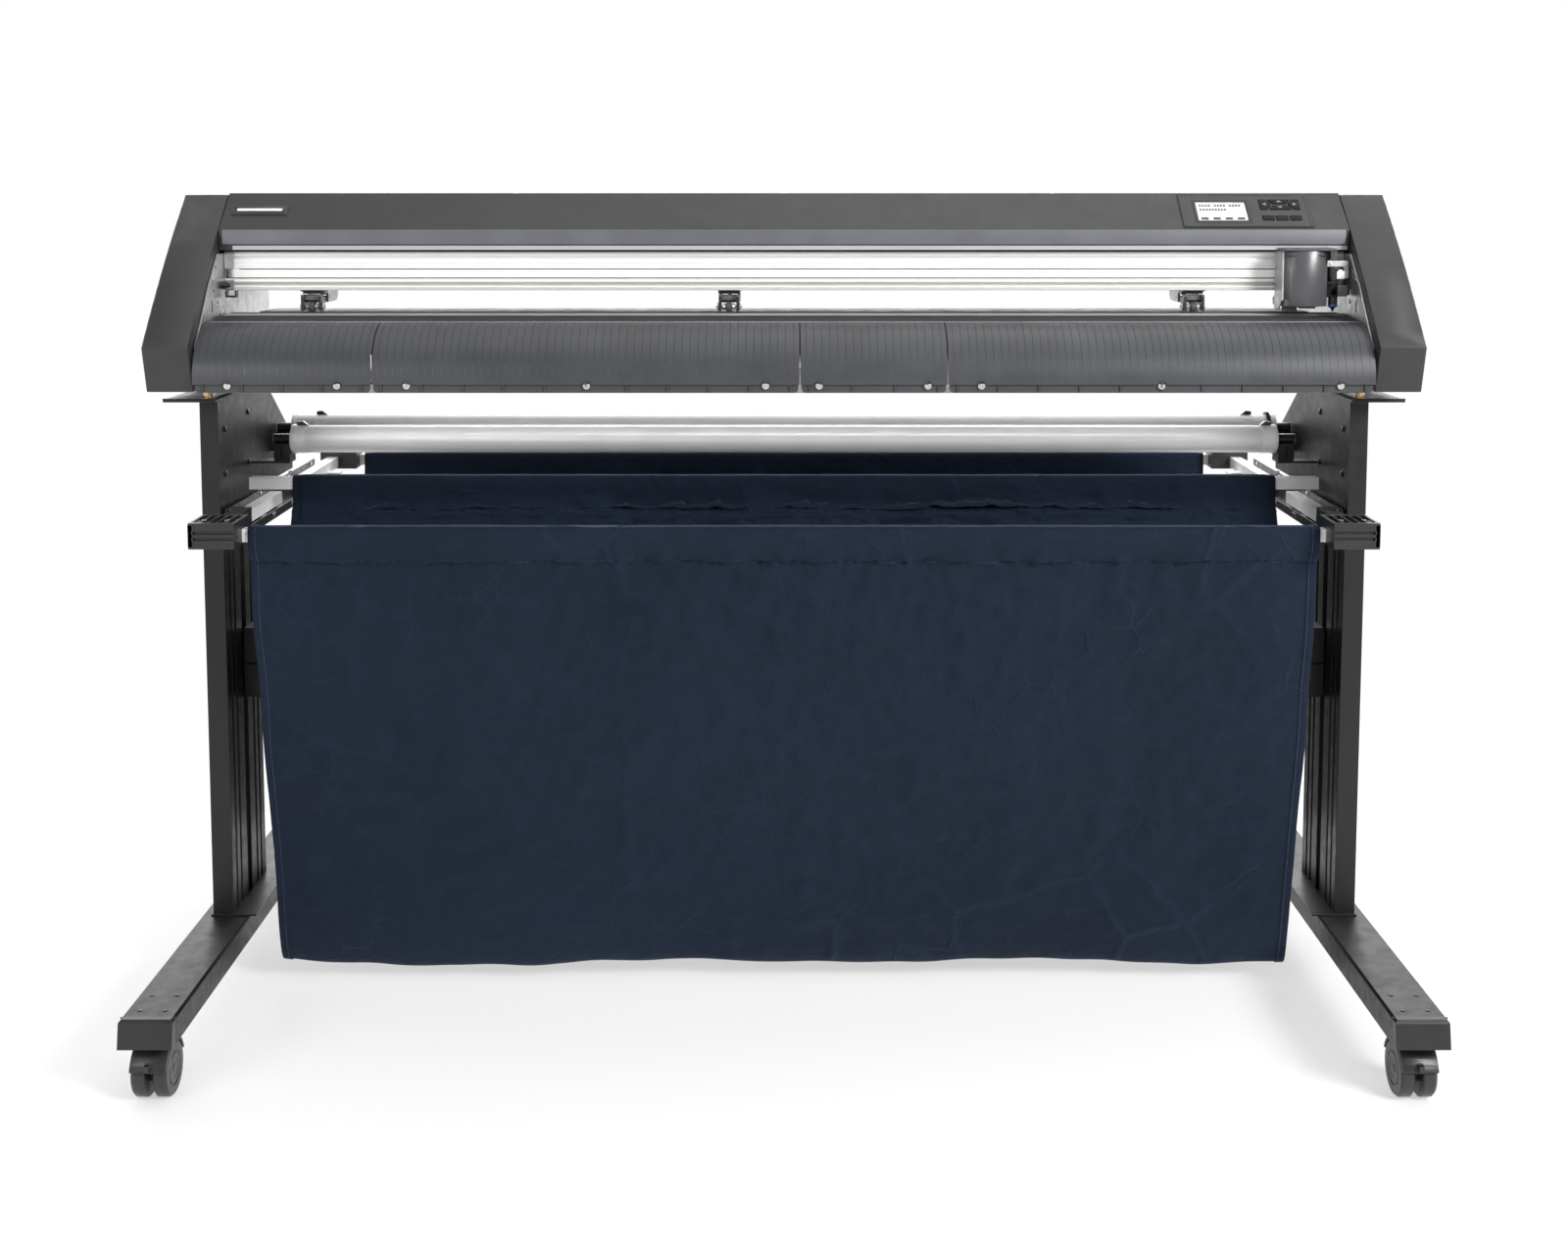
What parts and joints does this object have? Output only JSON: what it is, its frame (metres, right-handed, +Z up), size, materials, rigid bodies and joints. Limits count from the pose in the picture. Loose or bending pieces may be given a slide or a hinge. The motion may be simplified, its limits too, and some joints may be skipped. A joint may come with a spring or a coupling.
{
  "type": "vinyl cutter",
  "caption": "Floor-standing roll-fed vinyl cutter on a caster stand, with a sliding blade carriage, media rollers and a cloth catch basket.",
  "frame": {"origin": "on the floor under the middle of the whole machine", "axes": "+X to the operator's right along the rail, -Y towards the operator, +Z up"},
  "size_m": [1.602, 0.925, 1.071],
  "materials": {
    "cover_plastic": "fine-textured dark grey moulding",
    "apron_plastic": "satin dark grey moulding with fine grooves",
    "bed_plastic": "black ribbed bed",
    "stand_paint": "fine-textured black powder coat",
    "frame_steel": "zinc-plated sheet steel",
    "rail_aluminium": "clear-anodised extrusion",
    "roller_aluminium": "satin anodised tube",
    "basket_navy": "woven navy cloth",
    "black_plastic": "moulded black nylon",
    "wheel_plastic": "black nylon wheel",
    "key_plastic": "satin key caps",
    "screen": "grey liquid-crystal screen",
    "rubber": "rubber roller",
    "grit_steel": "knurled steel roller",
    "bolt_brass": "yellow-plated bolt",
    "screw_steel": "zinc-plated screws",
    "belt_rubber": "toothed polyurethane belt"
  },
  "bodies": {
    "machine": {"left_side_cover": "cover_plastic", "right_side_cover": "cover_plastic", "top_cover": "cover_plastic", "rear_guide": "bed_plastic", "side_frames": "frame_steel", "base_frame": "frame_steel", "platen": "bed_plastic", "apron_panels": "apron_plastic", "y_rail": "rail_aluminium", "drive_belt": "belt_rubber", "drive_motors": "black_plastic", "control_panel": "cover_plastic", "lcd_screen": "screen", "electronics": "black_plastic", "apron_screws": "screw_steel", "stand_bolts": "bolt_brass", "legs": "stand_paint", "feet": "stand_paint", "foot_caps": "black_plastic", "cross_beam": "stand_paint", "stand_plates": "stand_paint", "basket_channels": "stand_paint", "middle_basket_bar": "rail_aluminium", "basket_cloth": "basket_navy"},
    "carriage": {"carriage_base": "frame_steel", "carriage_cover": "cover_plastic"},
    "tool": {"tool_holder": "black_plastic"},
    "set_lever": {"set_lever": "black_plastic"},
    "grit_roller": {"grit_shaft": "grit_steel"},
    "front_basket": {"front_basket_frame": "rail_aluminium", "front_corner_blocks": "black_plastic"},
    "rear_basket": {"rear_basket_frame": "rail_aluminium", "rear_corner_blocks": "black_plastic"},
    "front_media_roller": {"front_roll_shaft": "roller_aluminium"},
    "rear_media_roller": {"rear_roll_shaft": "roller_aluminium"},
    "power_switch": {"power_switch": "black_plastic"},
    "pinch_1": {"pinch_bracket_1": "frame_steel"},
    "pinch_arm_1": {"pinch_arm_1": "black_plastic"},
    "pinch_roller_1": {"pinch_roller_1": "rubber"},
    "pinch_2": {"pinch_bracket_2": "frame_steel"},
    "pinch_arm_2": {"pinch_arm_2": "black_plastic"},
    "pinch_roller_2": {"pinch_roller_2": "rubber"},
    "pinch_3": {"pinch_bracket_3": "frame_steel"},
    "pinch_arm_3": {"pinch_arm_3": "black_plastic"},
    "pinch_roller_3": {"pinch_roller_3": "rubber"},
    "caster_1": {"caster_yoke_1": "wheel_plastic"},
    "caster_wheels_1": {"caster_wheels_1": "wheel_plastic"},
    "caster_2": {"caster_yoke_2": "wheel_plastic"},
    "caster_wheels_2": {"caster_wheels_2": "wheel_plastic"},
    "caster_3": {"caster_yoke_3": "wheel_plastic"},
    "caster_wheels_3": {"caster_wheels_3": "wheel_plastic"},
    "caster_4": {"caster_yoke_4": "wheel_plastic"},
    "caster_wheels_4": {"caster_wheels_4": "wheel_plastic"},
    "key_left": {"key_left": "key_plastic"},
    "key_right": {"key_right": "key_plastic"},
    "key_up": {"key_up": "key_plastic"},
    "key_down": {"key_down": "key_plastic"},
    "key_function_left": {"key_function_left": "key_plastic"},
    "key_function_middle": {"key_function_middle": "key_plastic"},
    "key_function_right": {"key_function_right": "key_plastic"}
  },
  "joints": [
    {"name": "carriage_slide", "type": "slide", "parent": "machine", "child": "carriage", "axis": [1, 0, 0], "range_m": [-1.29, 0]},
    {"name": "tool_slide", "type": "slide", "parent": "carriage", "child": "tool", "axis": [0, 0, 1], "range_m": [-0.006, 0], "stiffness_N_per_m": 300, "springref_m": 0.002},
    {"name": "set_lever_turn", "type": "hinge", "parent": "machine", "child": "set_lever", "pos_m": [0, -0.027, 0.955], "axis": [-1, 0, 0], "range_deg": [0, 30]},
    {"name": "grit_roller_spin", "type": "hinge", "parent": "machine", "child": "grit_roller", "pos_m": [0, -0.087, 0.9034], "axis": [1, 0, 0], "continuous": true},
    {"name": "front_basket_slide", "type": "slide", "parent": "machine", "child": "front_basket", "axis": [0, 1, 0], "range_m": [-0.12, 0.05], "deforming": ["basket_cloth"]},
    {"name": "rear_basket_slide", "type": "slide", "parent": "machine", "child": "rear_basket", "axis": [0, 1, 0], "range_m": [-0.07, 0.06], "deforming": ["basket_cloth"]},
    {"name": "front_media_roller_spin", "type": "hinge", "parent": "machine", "child": "front_media_roller", "pos_m": [0, 0.022, 0.729], "axis": [1, 0, 0], "continuous": true},
    {"name": "rear_media_roller_spin", "type": "hinge", "parent": "machine", "child": "rear_media_roller", "pos_m": [0, 0.145, 0.729], "axis": [1, 0, 0], "continuous": true},
    {"name": "power_switch_rock", "type": "hinge", "parent": "machine", "child": "power_switch", "pos_m": [0.772, 0.115, 0.9387], "axis": [1, 0, 0], "range_deg": [0, 16]},
    {"name": "pinch_1_slide", "type": "slide", "parent": "machine", "child": "pinch_1", "axis": [1, 0, 0], "range_m": [-0.06, 0.1]},
    {"name": "pinch_arm_1_lift", "type": "hinge", "parent": "pinch_1", "child": "pinch_arm_1", "pos_m": [-0.626, -0.047, 0.931], "axis": [-1, 0, 0], "range_deg": [0, 5]},
    {"name": "pinch_roller_1_spin", "type": "hinge", "parent": "pinch_arm_1", "child": "pinch_roller_1", "pos_m": [-0.626, -0.087, 0.9207], "axis": [1, 0, 0], "continuous": true},
    {"name": "pinch_2_slide", "type": "slide", "parent": "machine", "child": "pinch_2", "axis": [1, 0, 0], "range_m": [-0.1, 0.1]},
    {"name": "pinch_arm_2_lift", "type": "hinge", "parent": "pinch_2", "child": "pinch_arm_2", "pos_m": [-0.073, -0.047, 0.931], "axis": [-1, 0, 0], "range_deg": [0, 5]},
    {"name": "pinch_roller_2_spin", "type": "hinge", "parent": "pinch_arm_2", "child": "pinch_roller_2", "pos_m": [-0.073, -0.087, 0.9207], "axis": [1, 0, 0], "continuous": true},
    {"name": "pinch_3_slide", "type": "slide", "parent": "machine", "child": "pinch_3", "axis": [1, 0, 0], "range_m": [-0.1, 0.06]},
    {"name": "pinch_arm_3_lift", "type": "hinge", "parent": "pinch_3", "child": "pinch_arm_3", "pos_m": [0.543, -0.047, 0.931], "axis": [-1, 0, 0], "range_deg": [0, 5]},
    {"name": "pinch_roller_3_spin", "type": "hinge", "parent": "pinch_arm_3", "child": "pinch_roller_3", "pos_m": [0.543, -0.087, 0.9207], "axis": [1, 0, 0], "continuous": true},
    {"name": "caster_1_swivel", "type": "hinge", "parent": "machine", "child": "caster_1", "pos_m": [-0.74785, -0.402, 0.074], "axis": [0, 0, 1], "continuous": true},
    {"name": "caster_1_roll", "type": "hinge", "parent": "caster_1", "child": "caster_wheels_1", "pos_m": [-0.74785, -0.42, 0.0325], "axis": [1, 0, 0], "continuous": true},
    {"name": "caster_2_swivel", "type": "hinge", "parent": "machine", "child": "caster_2", "pos_m": [0.74785, -0.402, 0.074], "axis": [0, 0, 1], "continuous": true},
    {"name": "caster_2_roll", "type": "hinge", "parent": "caster_2", "child": "caster_wheels_2", "pos_m": [0.74785, -0.42, 0.0325], "axis": [1, 0, 0], "continuous": true},
    {"name": "caster_3_swivel", "type": "hinge", "parent": "machine", "child": "caster_3", "pos_m": [-0.74785, 0.288, 0.074], "axis": [0, 0, 1], "continuous": true},
    {"name": "caster_3_roll", "type": "hinge", "parent": "caster_3", "child": "caster_wheels_3", "pos_m": [-0.74785, 0.306, 0.0325], "axis": [1, 0, 0], "continuous": true},
    {"name": "caster_4_swivel", "type": "hinge", "parent": "machine", "child": "caster_4", "pos_m": [0.74785, 0.288, 0.074], "axis": [0, 0, 1], "continuous": true},
    {"name": "caster_4_roll", "type": "hinge", "parent": "caster_4", "child": "caster_wheels_4", "pos_m": [0.74785, 0.306, 0.0325], "axis": [1, 0, 0], "continuous": true},
    {"name": "key_left_press", "type": "slide", "parent": "machine", "child": "key_left", "axis": [0, 0.6497, -0.7602], "range_m": [0, 0.001], "stiffness_N_per_m": 400},
    {"name": "key_right_press", "type": "slide", "parent": "machine", "child": "key_right", "axis": [0, 0.6497, -0.7602], "range_m": [0, 0.001], "stiffness_N_per_m": 400},
    {"name": "key_up_press", "type": "slide", "parent": "machine", "child": "key_up", "axis": [0, 0.6497, -0.7602], "range_m": [0, 0.001], "stiffness_N_per_m": 400},
    {"name": "key_down_press", "type": "slide", "parent": "machine", "child": "key_down", "axis": [0, 0.6497, -0.7602], "range_m": [0, 0.001], "stiffness_N_per_m": 400},
    {"name": "key_function_left_press", "type": "slide", "parent": "machine", "child": "key_function_left", "axis": [0, 0.6497, -0.7602], "range_m": [0, 0.001], "stiffness_N_per_m": 400},
    {"name": "key_function_middle_press", "type": "slide", "parent": "machine", "child": "key_function_middle", "axis": [0, 0.6497, -0.7602], "range_m": [0, 0.001], "stiffness_N_per_m": 400},
    {"name": "key_function_right_press", "type": "slide", "parent": "machine", "child": "key_function_right", "axis": [0, 0.6497, -0.7602], "range_m": [0, 0.001], "stiffness_N_per_m": 400}
  ],
  "couplings": [
    {"joint": "pinch_arm_1_lift", "follows": "set_lever_turn", "ratio": 0.16667},
    {"joint": "pinch_arm_2_lift", "follows": "set_lever_turn", "ratio": 0.16667},
    {"joint": "pinch_arm_3_lift", "follows": "set_lever_turn", "ratio": 0.16667}
  ]
}
